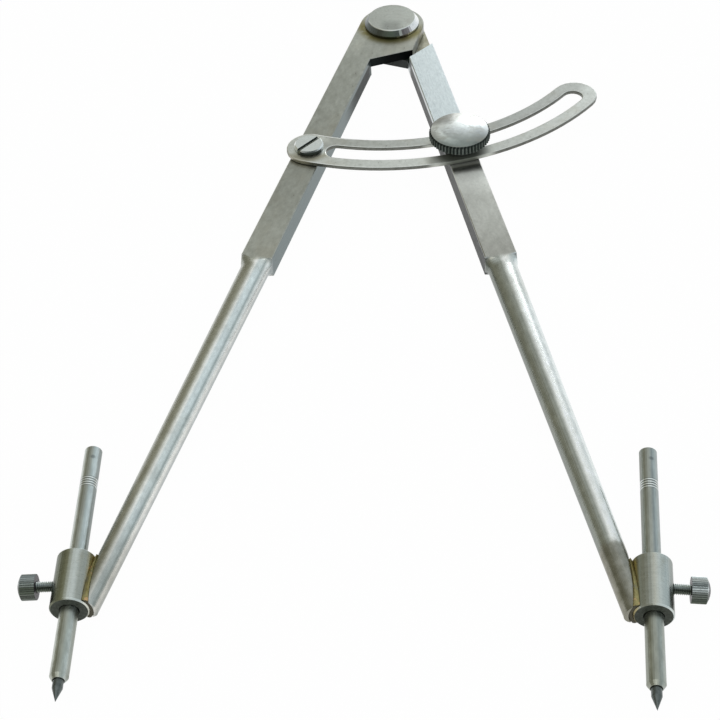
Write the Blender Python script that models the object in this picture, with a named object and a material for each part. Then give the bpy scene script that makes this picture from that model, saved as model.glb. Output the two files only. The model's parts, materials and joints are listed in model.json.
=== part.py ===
"""Large drawing compass of steel, lying flat on its back with its points toward -Y.

Two bars are joined by a half-lap hinge and drawn down to tapered rods that end round. A slotted arc bar
and a knurled knob lock their opening. A clamp block brazed to the end of each rod holds a scriber rod with
a carbide point, pinched by a knurled thumbscrew.

In a leg's own frame the hinge axis is at the origin, +X points outward on the right leg and -X on the
left leg, and the leg runs down -Y. Z is zero at mid thickness of the bars. Distance along a leg is
called its station, and distance outward from the line through the hinge its offset.
"""

import math

import bmesh
import bpy
from mathutils import Matrix, Vector

MM = 0.001
LEFT = -1
RIGHT = 1

# Clearances
SEAT_GAP = 0.25 * MM
RUNNING_GAP = 0.3 * MM
HOLE_GAP = 0.3 * MM
OVERRUN = 4.0 * MM

# Legs
HALF_OPENING = math.radians(13.32)
BAR_WIDTH = 14.2 * MM
BAR_THICKNESS = 10.4 * MM
BAR_LENGTH = 191.8 * MM
INNER_EDGE_OFFSET = 2.4 * MM
ROD_TOP_RADIUS = 6.5 * MM
ROD_END_RADIUS = 4.65 * MM
TURNED_FILLET = 5.0 * MM
TURNED_CORNER_SHARE = 1.02
BAR_EDGE_CHAMFER = 0.35 * MM

# Half-lap hinge plates
LAP_EDGE_ANGLE = math.radians(33.5)
UPPER_LAP_EDGE_STATION = 33.3 * MM
LOWER_LAP_EDGE_STATION = 27.8 * MM
LAP_SHOULDER_CLEARANCE = 2.4 * MM

# Hinge bolt
DISC_RIM_RADIUS = 14.1 * MM
DISC_FACE_RADIUS = 12.1 * MM
DISC_RIM_HEIGHT = 0.9 * MM
DISC_HEIGHT = 3.7 * MM
PIVOT_SHAFT_RADIUS = 5.0 * MM
NUT_RADIUS = 11.0 * MM
NUT_THICKNESS = 3.9 * MM
NUT_PROUD = 2.05 * MM
NUT_CHAMFER = 0.4 * MM

# Slotted arc bar
ARC_RADIUS = 114.6 * MM
ARC_BAND_WIDTH = 21.4 * MM
ARC_SLOT_WIDTH = 9.2 * MM
ARC_THICKNESS = 2.0 * MM
ARC_EDGE_ROUND = 0.45 * MM
ARC_END_ANGLE = math.radians(66.1)
ARC_SLOT_MARGIN = 1.8 * MM
ARC_SLOT_END_SETBACK = 1.5 * MM

# Screw that fixes the arc bar to the left leg
ARC_SCREW_HEAD_RADIUS = 6.9 * MM
ARC_SCREW_HEAD_HEIGHT = 2.0 * MM
ARC_SCREW_CHAMFER = 0.6 * MM
ARC_SCREW_SHANK_RADIUS = 3.0 * MM
ARC_SCREW_DEPTH = 8.0 * MM
ARC_SCREW_SLOT_WIDTH = 1.9 * MM
ARC_SCREW_SLOT_DEPTH = 1.2 * MM
ARC_SCREW_SLOT_TURN = math.radians(62.0)

# Lock stud, washer and knob on the right leg
STUD_RADIUS = 4.0 * MM
STUD_HEAD_RADIUS = 6.5 * MM
STUD_HEAD_THICKNESS = 3.0 * MM
WASHER_RADIUS = 8.6 * MM
WASHER_THICKNESS = 1.2 * MM
KNOB_NECK_RADIUS = 8.0 * MM
KNOB_UNDERSIDE_RADIUS = 11.8 * MM
KNOB_NECK_HEIGHT = 2.9 * MM
KNOB_RADIUS = 14.25 * MM
KNOB_RIM_HEIGHT = 4.3 * MM
KNOB_DOME_HEIGHT = 1.7 * MM
KNOB_DOME_EDGE_RADIUS = 13.4 * MM
KNOB_BORE_DEPTH = 5.4 * MM
KNOB_TEETH = 52
KNOB_TOOTH_DEPTH = 0.5 * MM

# Clamp blocks
BLOCK_RADIUS = 7.25 * MM
BLOCK_LENGTH = 23.0 * MM
BLOCK_STATION = 373.5 * MM
BLOCK_CHAMFER = 0.5 * MM
BRAZE_THICKNESS = 1.3 * MM
BRAZE_GAP = 0.1 * MM
BRAZE_SPREAD = 0.6 * MM
ROD_END_SHARE = 0.76

# Scriber rods and carbide points
SCRIBER_TILT = math.radians(16.69)
SCRIBER_RADIUS = 3.4 * MM
SCRIBER_ABOVE = 64.8 * MM
SCRIBER_BELOW = 40.7 * MM
SCRIBER_CHAMFER = 0.5 * MM
SCRIBER_NOSE_LENGTH = 1.5 * MM
SCRIBER_NOSE_RADIUS = 2.4 * MM
POINT_RADIUS = 1.9 * MM
POINT_SOCKET_DEPTH = 6.0 * MM
POINT_SHANK_OUT = 3.0 * MM
POINT_CONE_LENGTH = 5.4 * MM

# Thumbscrews
THUMB_SHANK_RADIUS = 2.0 * MM
THUMB_STANDOFF = 5.95 * MM
THUMB_LEFT_DROP = 0.5 * MM
THUMB_RIGHT_DROP = -0.8 * MM
THUMB_HEAD_RADIUS = 4.75 * MM
THUMB_HEAD_LENGTH = 5.8 * MM
THUMB_DOME_LENGTH = 1.0 * MM
THUMB_DOME_EDGE_RADIUS = 3.9 * MM
THUMB_BORE_DEPTH = 3.4 * MM
THUMB_TEETH = 34
THUMB_TOOTH_DEPTH = 0.3 * MM

# Facets
LARGE_SEGMENTS = 56
MEDIUM_SEGMENTS = 40
SMALL_SEGMENTS = 28
CURVE_STEPS = 6
DOME_STEPS = 4
SHARP_ANGLE = math.radians(28.0)
RIM_ANGLE = math.radians(60.0)

HALF_THICKNESS = BAR_THICKNESS / 2
OUTER_EDGE_OFFSET = INNER_EDGE_OFFSET + BAR_WIDTH
BAR_CENTRE_OFFSET = INNER_EDGE_OFFSET + BAR_WIDTH / 2
LAP_LEVEL = RUNNING_GAP / 2
REST_HEIGHT = max(BLOCK_RADIUS, HALF_THICKNESS + NUT_PROUD)
FASTENER_STATION = math.sqrt(ARC_RADIUS**2 - BAR_CENTRE_OFFSET**2)
ARC_UNDERSIDE = HALF_THICKNESS + SEAT_GAP
ARC_TOP = ARC_UNDERSIDE + ARC_THICKNESS
BLOCK_OFFSET = BAR_CENTRE_OFFSET + BLOCK_RADIUS + BRAZE_THICKNESS + 2 * BRAZE_GAP
ROD_END_STATION = BLOCK_STATION + ROD_END_SHARE * BLOCK_LENGTH / 2
COPE_RADIUS = BLOCK_RADIUS + BRAZE_THICKNESS + 2 * BRAZE_GAP
SCREW_ANGLE = -math.asin(BAR_CENTRE_OFFSET / ARC_RADIUS)
SLOT_START_REACH = ARC_SCREW_HEAD_RADIUS + ARC_SLOT_WIDTH / 2 + ARC_SLOT_MARGIN
ARC_SLOT_START_ANGLE = SCREW_ANGLE + SLOT_START_REACH / ARC_RADIUS
ARC_SLOT_END_ANGLE = ARC_END_ANGLE - ARC_SLOT_END_SETBACK / ARC_RADIUS
WASHER_UNDERSIDE = ARC_TOP + RUNNING_GAP
KNOB_UNDERSIDE = WASHER_UNDERSIDE + WASHER_THICKNESS + RUNNING_GAP
NUT_UNDERSIDE = -HALF_THICKNESS - NUT_PROUD
WORLD_TILT = HALF_OPENING - SCRIBER_TILT


def leg_point(side, offset, station):
    """Place in the compass plane of a point given in a leg's own terms."""
    across = offset * math.cos(HALF_OPENING) + station * math.sin(HALF_OPENING)
    along = offset * math.sin(HALF_OPENING) - station * math.cos(HALF_OPENING)
    return Vector((side * across, along))


def compass_centre():
    """Middle of the compass's outline, which stands over the part's origin."""
    top = OUTER_EDGE_OFFSET
    block = leg_point(RIGHT, BLOCK_OFFSET, BLOCK_STATION)
    reach = SCRIBER_BELOW + POINT_SHANK_OUT + POINT_CONE_LENGTH
    bottom = block.y - reach * math.cos(WORLD_TILT)
    farther_right = (THUMB_RIGHT_DROP - THUMB_LEFT_DROP) * math.sin(WORLD_TILT)
    return Vector((farther_right / 2, (top + bottom) / 2))


def clear_scene():
    for item in list(bpy.data.objects):
        bpy.data.objects.remove(item, do_unlink=True)


def steel(name, color, roughness, metallic=1.0):
    material = bpy.data.materials.new(name)
    material.use_nodes = True
    shader = material.node_tree.nodes["Principled BSDF"]
    shader.inputs["Base Color"].default_value = (*color, 1.0)
    shader.inputs["Roughness"].default_value = roughness
    shader.inputs["Metallic"].default_value = metallic
    material.diffuse_color = (*color, 1.0)
    return material


def frame(name, parent, location=(0, 0, 0), turn=0.0):
    """Empty that carries pieces, turned about Z."""
    empty = bpy.data.objects.new(name, None)
    bpy.context.scene.collection.objects.link(empty)
    empty.parent = parent
    empty.location = location
    empty.rotation_euler = (0, 0, turn)
    return empty


def piece(name, shape, material, parent, location=(0, 0, 0)):
    """Object made of a bmesh, shaded smooth with sharp edges kept."""
    mesh = bpy.data.meshes.new(name)
    shape.to_mesh(mesh)
    shape.free()
    mesh.materials.append(material)
    obj = bpy.data.objects.new(name, mesh)
    bpy.context.scene.collection.objects.link(obj)
    obj.parent = parent
    obj.location = location
    finish_shading(obj)
    return obj


def finish_shading(obj):
    obj.data.shade_smooth()
    obj.data.set_sharp_from_angle(angle=SHARP_ANGLE)


def carve(obj, shape, operation="DIFFERENCE"):
    """Cut a closed bmesh, given in the object's own frame, out of an object."""
    mesh = bpy.data.meshes.new(obj.name + "_cutter")
    shape.to_mesh(mesh)
    shape.free()
    cutter = bpy.data.objects.new(obj.name + "_cutter", mesh)
    bpy.context.scene.collection.objects.link(cutter)
    cutter.parent = obj.parent
    cutter.location = obj.location
    modifier = obj.modifiers.new("cut", "BOOLEAN")
    modifier.operation = operation
    modifier.solver = "EXACT"
    modifier.object = cutter
    bpy.context.view_layer.update()
    depsgraph = bpy.context.evaluated_depsgraph_get()
    result = bpy.data.meshes.new_from_object(obj.evaluated_get(depsgraph))
    obj.modifiers.clear()
    obj.data = result
    bpy.data.objects.remove(cutter, do_unlink=True)
    finish_shading(obj)


def lathe(profile, segments, radius_at=None):
    """Turned solid about Z on a closed profile of (radius, height) points.

    A radius of zero is a point on the axis. radius_at may change a radius round the circle.
    """
    shape = bmesh.new()
    rings = []
    for radius, height in profile:
        count = 1 if radius == 0 else segments
        ring = []
        for step in range(count):
            angle = math.tau * step / segments
            local = radius_at(radius, step) if radius_at else radius
            ring.append(shape.verts.new((local * math.cos(angle), local * math.sin(angle), height)))
        rings.append(ring)
    for first, second in zip(rings, rings[1:] + rings[:1]):
        bridge(shape, first, second)
    bmesh.ops.recalc_face_normals(shape, faces=shape.faces)
    return shape


def bridge(shape, first, second):
    """Faces between two rings, or between a ring and a single point on the axis."""
    count = max(len(first), len(second))
    if count == 1:
        return
    for step in range(count):
        after = (step + 1) % count
        if len(first) == 1:
            shape.faces.new((first[0], second[step], second[after]))
        elif len(second) == 1:
            shape.faces.new((first[step], first[after], second[0]))
        else:
            shape.faces.new((first[step], first[after], second[after], second[step]))


def knurled(profile, teeth, tooth_depth, full_radius):
    """Turned solid with straight teeth wherever its profile reaches the full radius."""

    def radius_at(radius, step):
        cut = radius >= full_radius and step % 2 == 1
        return radius - tooth_depth if cut else radius

    return lathe(profile, 2 * teeth, radius_at)


def cylinder(radius, bottom, top, segments):
    return lathe([(0, bottom), (radius, bottom), (radius, top), (0, top)], segments)


def dome(edge_radius, edge_height, rise):
    """(radius, height) points of a shallow dome from its edge to its crown."""
    sphere = (edge_radius**2 + rise**2) / (2 * rise)
    edge_angle = math.asin(edge_radius / sphere)
    points = []
    for step in range(DOME_STEPS):
        angle = edge_angle * (1 - step / DOME_STEPS)
        height = edge_height + rise - sphere * (1 - math.cos(angle))
        points.append((sphere * math.sin(angle), height))
    points.append((0, edge_height + rise))
    return points


def prism(outline, bottom, top, chamfer=0.0):
    """Upright solid on a flat outline of (x, y) points, with its rims chamfered."""
    shape = bmesh.new()
    lower = [shape.verts.new((x, y, bottom)) for x, y in outline]
    face = shape.faces.new(lower)
    moved = bmesh.ops.extrude_face_region(shape, geom=[face])
    raised = [item for item in moved["geom"] if isinstance(item, bmesh.types.BMVert)]
    bmesh.ops.translate(shape, verts=raised, vec=(0, 0, top - bottom))
    bmesh.ops.recalc_face_normals(shape, faces=shape.faces)
    if chamfer:
        rims = [edge for edge in shape.edges if edge.verts[0].co.z == edge.verts[1].co.z]
        bmesh.ops.bevel(shape, geom=rims, offset=chamfer, segments=1, affect="EDGES")
    return shape


def along_leg(shape):
    """Turn a shape made about Z so that its height runs down -Y."""
    bmesh.ops.transform(shape, matrix=Matrix.Rotation(math.radians(90), 4, "X"), verts=shape.verts)
    return shape


def outward(shape, side):
    """Turn a shape made about Z so that its height runs outward along X."""
    turn = Matrix.Rotation(side * math.radians(90), 4, "Y")
    bmesh.ops.transform(shape, matrix=turn, verts=shape.verts)
    return shape


def shifted(shape, x, y, z=0.0):
    bmesh.ops.translate(shape, verts=shape.verts, vec=(x, y, z))
    return shape


def at_block(shape, side):
    """Move a shape from a clamp block's frame to its leg's frame."""
    turn = Matrix.Rotation(-side * SCRIBER_TILT, 4, "Z")
    place = Matrix.Translation((side * BLOCK_OFFSET, -BLOCK_STATION, 0))
    bmesh.ops.transform(shape, matrix=place @ turn, verts=shape.verts)
    return shape


def circle_points(centre, radius, start, end, steps):
    """Points on a circle in the plane, both ends included."""
    points = []
    for step in range(steps + 1):
        angle = start + (end - start) * step / steps
        points.append((centre[0] + radius * math.cos(angle), centre[1] + radius * math.sin(angle)))
    return points


def rod_radius(station):
    """Radius of the tapered rod at a station."""
    share = (station - BAR_LENGTH) / (ROD_END_STATION - BAR_LENGTH)
    return ROD_TOP_RADIUS + (ROD_END_RADIUS - ROD_TOP_RADIUS) * share


def flatten_rod(shape):
    """Give a turned shape the bar's proportions beside the bar, and leave it round at its end."""
    length = ROD_END_STATION - BAR_LENGTH
    bar_share = BAR_THICKNESS / BAR_WIDTH
    for vert in shape.verts:
        share = min(1.0, max(0.0, (-vert.co.y - BAR_LENGTH) / length))
        vert.co.z *= bar_share + (1 - bar_share) * share
    return shape


def turned_fillet():
    """(radius, station) points of the hollow curve from the bar's corners down to the rod."""
    corner = TURNED_CORNER_SHARE * BAR_WIDTH / math.sqrt(2)
    points = []
    for step in range(CURVE_STEPS + 1):
        angle = math.pi / 2 * step / CURVE_STEPS
        radius = corner - (corner - ROD_TOP_RADIUS) * math.sin(angle)
        station = BAR_LENGTH + TURNED_FILLET * (1 - math.cos(angle))
        points.append((radius, station))
    return points


def turning_cutter(side):
    """Everything that is turned away round the rod and past its end."""
    waste_radius = BAR_WIDTH + 2 * OVERRUN
    waste_end = ROD_END_STATION + 2 * OVERRUN
    profile = [(waste_radius, BAR_LENGTH)]
    profile += turned_fillet()
    profile.append((ROD_END_RADIUS, ROD_END_STATION))
    profile.append((0, ROD_END_STATION))
    profile.append((0, waste_end))
    profile.append((waste_radius, waste_end))
    waste = flatten_rod(along_leg(lathe(profile, LARGE_SEGMENTS)))
    return shifted(waste, side * BAR_CENTRE_OFFSET, 0)


def leg_outline(side):
    """Outline of a leg's head plate and bar in the leg's frame, with the stock for the rod."""
    radius = OUTER_EDGE_OFFSET
    edge_station = UPPER_LAP_EDGE_STATION if side == LEFT else LOWER_LAP_EDGE_STATION
    edge_drop = (radius + INNER_EDGE_OFFSET) * math.tan(LAP_EDGE_ANGLE)
    stock_end = ROD_END_STATION + OVERRUN
    outline = [(OUTER_EDGE_OFFSET, -stock_end)]
    outline += circle_points((0, 0), radius, 0, math.pi, LARGE_SEGMENTS // 2)
    outline.append((-radius, edge_drop - edge_station))
    outline.append((INNER_EDGE_OFFSET, -edge_station))
    outline.append((INNER_EDGE_OFFSET, -stock_end))
    return [(side * x, y) for x, y in outline]


def lap_outline(side):
    """Region where a leg keeps half its thickness, so that the other leg's plate swings there."""
    reach = OUTER_EDGE_OFFSET + OVERRUN
    below_plate = UPPER_LAP_EDGE_STATION + LAP_SHOULDER_CLEARANCE + OVERRUN

    def shoulder(offset):
        drop = (offset + INNER_EDGE_OFFSET) * math.tan(LAP_EDGE_ANGLE)
        return UPPER_LAP_EDGE_STATION + LAP_SHOULDER_CLEARANCE - drop

    outline = [
        (-reach, reach),
        (reach, reach),
        (reach, -shoulder(reach)),
        (INNER_EDGE_OFFSET, -shoulder(INNER_EDGE_OFFSET)),
        (INNER_EDGE_OFFSET, -below_plate),
        (-reach, -below_plate),
    ]
    return [(side * x, y) for x, y in outline]


def make_leg(name, side, material, parent):
    """Leg with half-lap plate and bar, drawn down to a tapered rod and coped round its block."""
    stock = prism(leg_outline(side), -HALF_THICKNESS, HALF_THICKNESS, BAR_EDGE_CHAMFER)
    leg = piece(name, stock, material, parent)
    lap_bottom = -HALF_THICKNESS - OVERRUN if side == LEFT else -LAP_LEVEL
    lap_top = LAP_LEVEL if side == LEFT else HALF_THICKNESS + OVERRUN
    carve(leg, prism(lap_outline(side), lap_bottom, lap_top))
    carve(leg, turning_cutter(side))
    cope = cylinder(COPE_RADIUS, -BLOCK_LENGTH, BLOCK_LENGTH, LARGE_SEGMENTS)
    carve(leg, at_block(along_leg(cope), side))
    return leg


def hole(radius, x, y, bottom=-HALF_THICKNESS - OVERRUN, top=HALF_THICKNESS + OVERRUN):
    """Cutter for an upright hole that clears a pin of the given radius."""
    return shifted(cylinder(radius + HOLE_GAP, bottom, top, MEDIUM_SEGMENTS), x, y)


def stepped_hole(radius, wide_radius, step, x, y):
    """Cutter for an upright hole that is wider below the step, for a head or a nut."""
    bottom = -HALF_THICKNESS - OVERRUN
    top = HALF_THICKNESS + OVERRUN
    profile = [
        (0, bottom),
        (wide_radius + HOLE_GAP, bottom),
        (wide_radius + HOLE_GAP, step),
        (radius + HOLE_GAP, step),
        (radius + HOLE_GAP, top),
        (0, top),
    ]
    return shifted(lathe(profile, MEDIUM_SEGMENTS), x, y)


def make_left_leg(material, parent):
    leg = make_leg("left_leg", LEFT, material, parent)
    carve(leg, hole(PIVOT_SHAFT_RADIUS, 0, 0))
    bottom = ARC_UNDERSIDE - ARC_SCREW_DEPTH - HOLE_GAP
    carve(leg, hole(ARC_SCREW_SHANK_RADIUS, LEFT * BAR_CENTRE_OFFSET, -FASTENER_STATION, bottom))


def make_right_leg(material, parent):
    leg = make_leg("right_leg", RIGHT, material, parent)
    nut_seat = NUT_UNDERSIDE + NUT_THICKNESS + RUNNING_GAP
    carve(leg, stepped_hole(PIVOT_SHAFT_RADIUS, NUT_RADIUS, nut_seat, 0, 0))
    head_seat = STUD_HEAD_THICKNESS + SEAT_GAP - HALF_THICKNESS
    spot = (BAR_CENTRE_OFFSET, -FASTENER_STATION)
    carve(leg, stepped_hole(STUD_RADIUS, STUD_HEAD_RADIUS, head_seat, *spot))


def make_hinge_bolt(material, parent):
    """Bolt through both plates with a wide chamfered disc for a head."""
    end = NUT_UNDERSIDE + NUT_CHAMFER
    seat = HALF_THICKNESS + SEAT_GAP
    profile = [
        (0, end),
        (PIVOT_SHAFT_RADIUS, end),
        (PIVOT_SHAFT_RADIUS, seat),
        (DISC_RIM_RADIUS, seat),
        (DISC_RIM_RADIUS, seat + DISC_RIM_HEIGHT),
        (DISC_FACE_RADIUS, seat + DISC_HEIGHT),
        (0, seat + DISC_HEIGHT),
    ]
    piece("hinge_bolt", lathe(profile, LARGE_SEGMENTS), material, parent)


def make_hinge_nut(material, parent):
    """Round nut let into the underside of the right leg's plate."""
    bore = PIVOT_SHAFT_RADIUS + SEAT_GAP
    profile = [
        (bore, NUT_UNDERSIDE),
        (NUT_RADIUS - NUT_CHAMFER, NUT_UNDERSIDE),
        (NUT_RADIUS, NUT_UNDERSIDE + NUT_CHAMFER),
        (NUT_RADIUS, NUT_UNDERSIDE + NUT_THICKNESS),
        (bore, NUT_UNDERSIDE + NUT_THICKNESS),
    ]
    piece("hinge_nut", lathe(profile, MEDIUM_SEGMENTS), material, parent)


def arc_outline(width, start, end, steps):
    """Outline of a curved strip with round ends, centred on the hinge.

    Angles are measured from -Y towards +X.
    """
    start -= math.pi / 2
    end -= math.pi / 2
    outline = circle_points((0, 0), ARC_RADIUS + width / 2, start, end, steps)
    for angle, inward_start in ((end, end), (start, start + math.pi)):
        centre = (ARC_RADIUS * math.cos(angle), ARC_RADIUS * math.sin(angle))
        cap = circle_points(centre, width / 2, inward_start, inward_start + math.pi, 2 * CURVE_STEPS)
        outline += cap[1:-1]
        if angle == end:
            outline += circle_points((0, 0), ARC_RADIUS - width / 2, end, start, steps)
    return outline


def make_arc_bar(material, parent):
    """Slotted arc bar lying on both legs, held at one end by its screw."""
    steps = LARGE_SEGMENTS // 2
    band = prism(arc_outline(ARC_BAND_WIDTH, SCREW_ANGLE, ARC_END_ANGLE, steps), ARC_UNDERSIDE, ARC_TOP)
    bar = piece("arc_bar", band, material, parent)
    slot = arc_outline(ARC_SLOT_WIDTH, ARC_SLOT_START_ANGLE, ARC_SLOT_END_ANGLE, steps)
    carve(bar, prism(slot, ARC_UNDERSIDE - OVERRUN, ARC_TOP + OVERRUN))
    carve(bar, hole(ARC_SCREW_SHANK_RADIUS, LEFT * BAR_CENTRE_OFFSET, -FASTENER_STATION))
    soften_edges(bar, ARC_EDGE_ROUND)


def soften_edges(obj, width):
    """Round the square rims of a plate."""
    modifier = obj.modifiers.new("rims", "BEVEL")
    modifier.width = width
    modifier.segments = 2
    modifier.limit_method = "ANGLE"
    modifier.angle_limit = RIM_ANGLE
    bpy.context.view_layer.update()
    depsgraph = bpy.context.evaluated_depsgraph_get()
    obj.data = bpy.data.meshes.new_from_object(obj.evaluated_get(depsgraph))
    obj.modifiers.clear()
    finish_shading(obj)


def make_arc_screw(material, parent):
    """Slotted cheese-head screw."""
    seat = ARC_TOP + SEAT_GAP
    top = seat + ARC_SCREW_HEAD_HEIGHT
    end = ARC_UNDERSIDE - ARC_SCREW_DEPTH
    profile = [
        (0, end),
        (ARC_SCREW_SHANK_RADIUS, end),
        (ARC_SCREW_SHANK_RADIUS, seat),
        (ARC_SCREW_HEAD_RADIUS, seat),
        (ARC_SCREW_HEAD_RADIUS, top - ARC_SCREW_CHAMFER),
        (ARC_SCREW_HEAD_RADIUS - ARC_SCREW_CHAMFER, top),
        (0, top),
    ]
    place = (LEFT * BAR_CENTRE_OFFSET, -FASTENER_STATION, 0)
    screw = piece("arc_screw", lathe(profile, MEDIUM_SEGMENTS), material, parent, place)
    half_length = ARC_SCREW_HEAD_RADIUS + OVERRUN
    half_width = ARC_SCREW_SLOT_WIDTH / 2
    corners = [(-half_length, -half_width), (half_length, -half_width)]
    corners += [(half_length, half_width), (-half_length, half_width)]
    slot = prism(corners, top - ARC_SCREW_SLOT_DEPTH, top + OVERRUN)
    turn = Matrix.Rotation(ARC_SCREW_SLOT_TURN, 4, "Z")
    bmesh.ops.transform(slot, matrix=turn, verts=slot.verts)
    carve(screw, slot)


def make_lock(materials, parent):
    """Stud through the right leg, with the washer and knurled knob that pinch the arc bar."""
    spot = (BAR_CENTRE_OFFSET, -FASTENER_STATION, 0)
    head_top = STUD_HEAD_THICKNESS - HALF_THICKNESS
    stud_top = KNOB_UNDERSIDE + KNOB_BORE_DEPTH - HOLE_GAP
    stud_profile = [
        (0, -HALF_THICKNESS),
        (STUD_HEAD_RADIUS, -HALF_THICKNESS),
        (STUD_HEAD_RADIUS, head_top),
        (STUD_RADIUS, head_top),
        (STUD_RADIUS, stud_top),
        (0, stud_top),
    ]
    piece("lock_stud", lathe(stud_profile, SMALL_SEGMENTS), materials["dark"], parent, spot)
    bore = STUD_RADIUS + HOLE_GAP
    washer_profile = [
        (bore, WASHER_UNDERSIDE),
        (WASHER_RADIUS, WASHER_UNDERSIDE),
        (WASHER_RADIUS, WASHER_UNDERSIDE + WASHER_THICKNESS),
        (bore, WASHER_UNDERSIDE + WASHER_THICKNESS),
    ]
    piece("lock_washer", lathe(washer_profile, MEDIUM_SEGMENTS), materials["dark"], parent, spot)
    rim_bottom = KNOB_UNDERSIDE + KNOB_NECK_HEIGHT
    rim_top = rim_bottom + KNOB_RIM_HEIGHT
    bevel = KNOB_RADIUS - KNOB_DOME_EDGE_RADIUS
    knob_profile = [
        (bore, KNOB_UNDERSIDE),
        (KNOB_NECK_RADIUS, KNOB_UNDERSIDE),
        (KNOB_UNDERSIDE_RADIUS, rim_bottom),
        (KNOB_RADIUS, rim_bottom + bevel / 2),
        (KNOB_RADIUS, rim_top - bevel),
    ]
    knob_profile += dome(KNOB_DOME_EDGE_RADIUS, rim_top, KNOB_DOME_HEIGHT)
    knob_profile.append((0, KNOB_UNDERSIDE + KNOB_BORE_DEPTH))
    knob_profile.append((bore, KNOB_UNDERSIDE + KNOB_BORE_DEPTH))
    knob = knurled(knob_profile, KNOB_TEETH, KNOB_TOOTH_DEPTH, KNOB_RADIUS)
    piece("lock_knob", knob, materials["knob"], parent, spot)


def make_clamp_block(name, side, drop, material, parent):
    """Cylinder bored for the scriber, with a hole for the thumbscrew on its outer side."""
    half = BLOCK_LENGTH / 2
    bore = SCRIBER_RADIUS + HOLE_GAP
    profile = [
        (bore, -half),
        (BLOCK_RADIUS - BLOCK_CHAMFER, -half),
        (BLOCK_RADIUS, BLOCK_CHAMFER - half),
        (BLOCK_RADIUS, half - BLOCK_CHAMFER),
        (BLOCK_RADIUS - BLOCK_CHAMFER, half),
        (bore, half),
    ]
    block = piece(name, along_leg(lathe(profile, MEDIUM_SEGMENTS)), material, parent)
    cross_hole = cylinder(THUMB_SHANK_RADIUS + HOLE_GAP, 0, BLOCK_RADIUS + OVERRUN, SMALL_SEGMENTS)
    carve(block, shifted(outward(cross_hole, side), 0, -drop))


def make_braze(name, side, material, parent):
    """Fillet of braze between the block and the coped end of the rod, in the leg's frame."""
    half = BLOCK_LENGTH / 2 - BLOCK_CHAMFER
    inner = BLOCK_RADIUS + BRAZE_GAP
    outer = inner + BRAZE_THICKNESS
    shell = lathe([(inner, -half), (outer, -half), (outer, half), (inner, half)], LARGE_SEGMENTS)
    braze = piece(name, at_block(along_leg(shell), side), material, parent)
    start = ROD_END_STATION - BLOCK_LENGTH - OVERRUN
    spread = [
        (0, start),
        (rod_radius(start) + BRAZE_SPREAD, start),
        (ROD_END_RADIUS + BRAZE_SPREAD, ROD_END_STATION),
        (0, ROD_END_STATION),
    ]
    rod = shifted(along_leg(lathe(spread, LARGE_SEGMENTS)), side * BAR_CENTRE_OFFSET, 0)
    carve(braze, rod, "INTERSECT")


def make_scriber(prefix, materials, parent):
    """Scriber rod that slides in the block, and the carbide point held in its end."""
    socket = SCRIBER_BELOW - POINT_SOCKET_DEPTH
    rod_profile = [
        (0, -SCRIBER_ABOVE),
        (SCRIBER_RADIUS - SCRIBER_CHAMFER, -SCRIBER_ABOVE),
        (SCRIBER_RADIUS, SCRIBER_CHAMFER - SCRIBER_ABOVE),
        (SCRIBER_RADIUS, SCRIBER_BELOW - SCRIBER_NOSE_LENGTH),
        (SCRIBER_NOSE_RADIUS, SCRIBER_BELOW),
        (POINT_RADIUS + SEAT_GAP, SCRIBER_BELOW),
        (POINT_RADIUS + SEAT_GAP, socket),
        (0, socket),
    ]
    rod = along_leg(lathe(rod_profile, SMALL_SEGMENTS))
    piece(prefix + "_scriber_rod", rod, materials["rod"], parent)
    shank_end = SCRIBER_BELOW + POINT_SHANK_OUT
    point_profile = [
        (0, socket + SEAT_GAP),
        (POINT_RADIUS, socket + SEAT_GAP),
        (POINT_RADIUS, shank_end),
        (0, shank_end + POINT_CONE_LENGTH),
    ]
    point = along_leg(lathe(point_profile, SMALL_SEGMENTS))
    piece(prefix + "_carbide_point", point, materials["carbide"], parent)


def make_thumbscrew(prefix, side, drop, material, parent):
    """Shank through the block's side, and the knurled head fixed on its outer end."""
    head_start = BLOCK_RADIUS + THUMB_STANDOFF
    shank_end = head_start + THUMB_BORE_DEPTH - SEAT_GAP
    shank = cylinder(THUMB_SHANK_RADIUS, SCRIBER_RADIUS + RUNNING_GAP, shank_end, SMALL_SEGMENTS)
    piece(prefix + "_screw_shank", outward(shank, side), material, parent, (0, -drop, 0))
    rim_end = head_start + THUMB_HEAD_LENGTH
    bevel = THUMB_HEAD_RADIUS - THUMB_DOME_EDGE_RADIUS
    bore = THUMB_SHANK_RADIUS + SEAT_GAP
    profile = [
        (bore, head_start),
        (THUMB_HEAD_RADIUS, head_start),
        (THUMB_HEAD_RADIUS, rim_end - bevel / 2),
    ]
    profile += dome(THUMB_DOME_EDGE_RADIUS, rim_end, THUMB_DOME_LENGTH)
    profile.append((0, head_start + THUMB_BORE_DEPTH))
    profile.append((bore, head_start + THUMB_BORE_DEPTH))
    head = knurled(profile, THUMB_TEETH, THUMB_TOOTH_DEPTH, THUMB_HEAD_RADIUS)
    piece(prefix + "_screw_head", outward(head, side), material, parent, (0, -drop, 0))


def make_leg_end(prefix, side, drop, materials, leg_frame):
    """Clamp block, braze, scriber and thumbscrew at the end of one leg."""
    spot = (side * BLOCK_OFFSET, -BLOCK_STATION, 0)
    clamp_frame = frame(prefix + "_clamp_frame", leg_frame, spot, -side * SCRIBER_TILT)
    make_clamp_block(prefix + "_clamp_block", side, drop, materials["block"], clamp_frame)
    make_braze(prefix + "_braze", side, materials["braze"], leg_frame)
    make_scriber(prefix, materials, clamp_frame)
    make_thumbscrew(prefix, side, drop, materials["screw"], clamp_frame)


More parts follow.
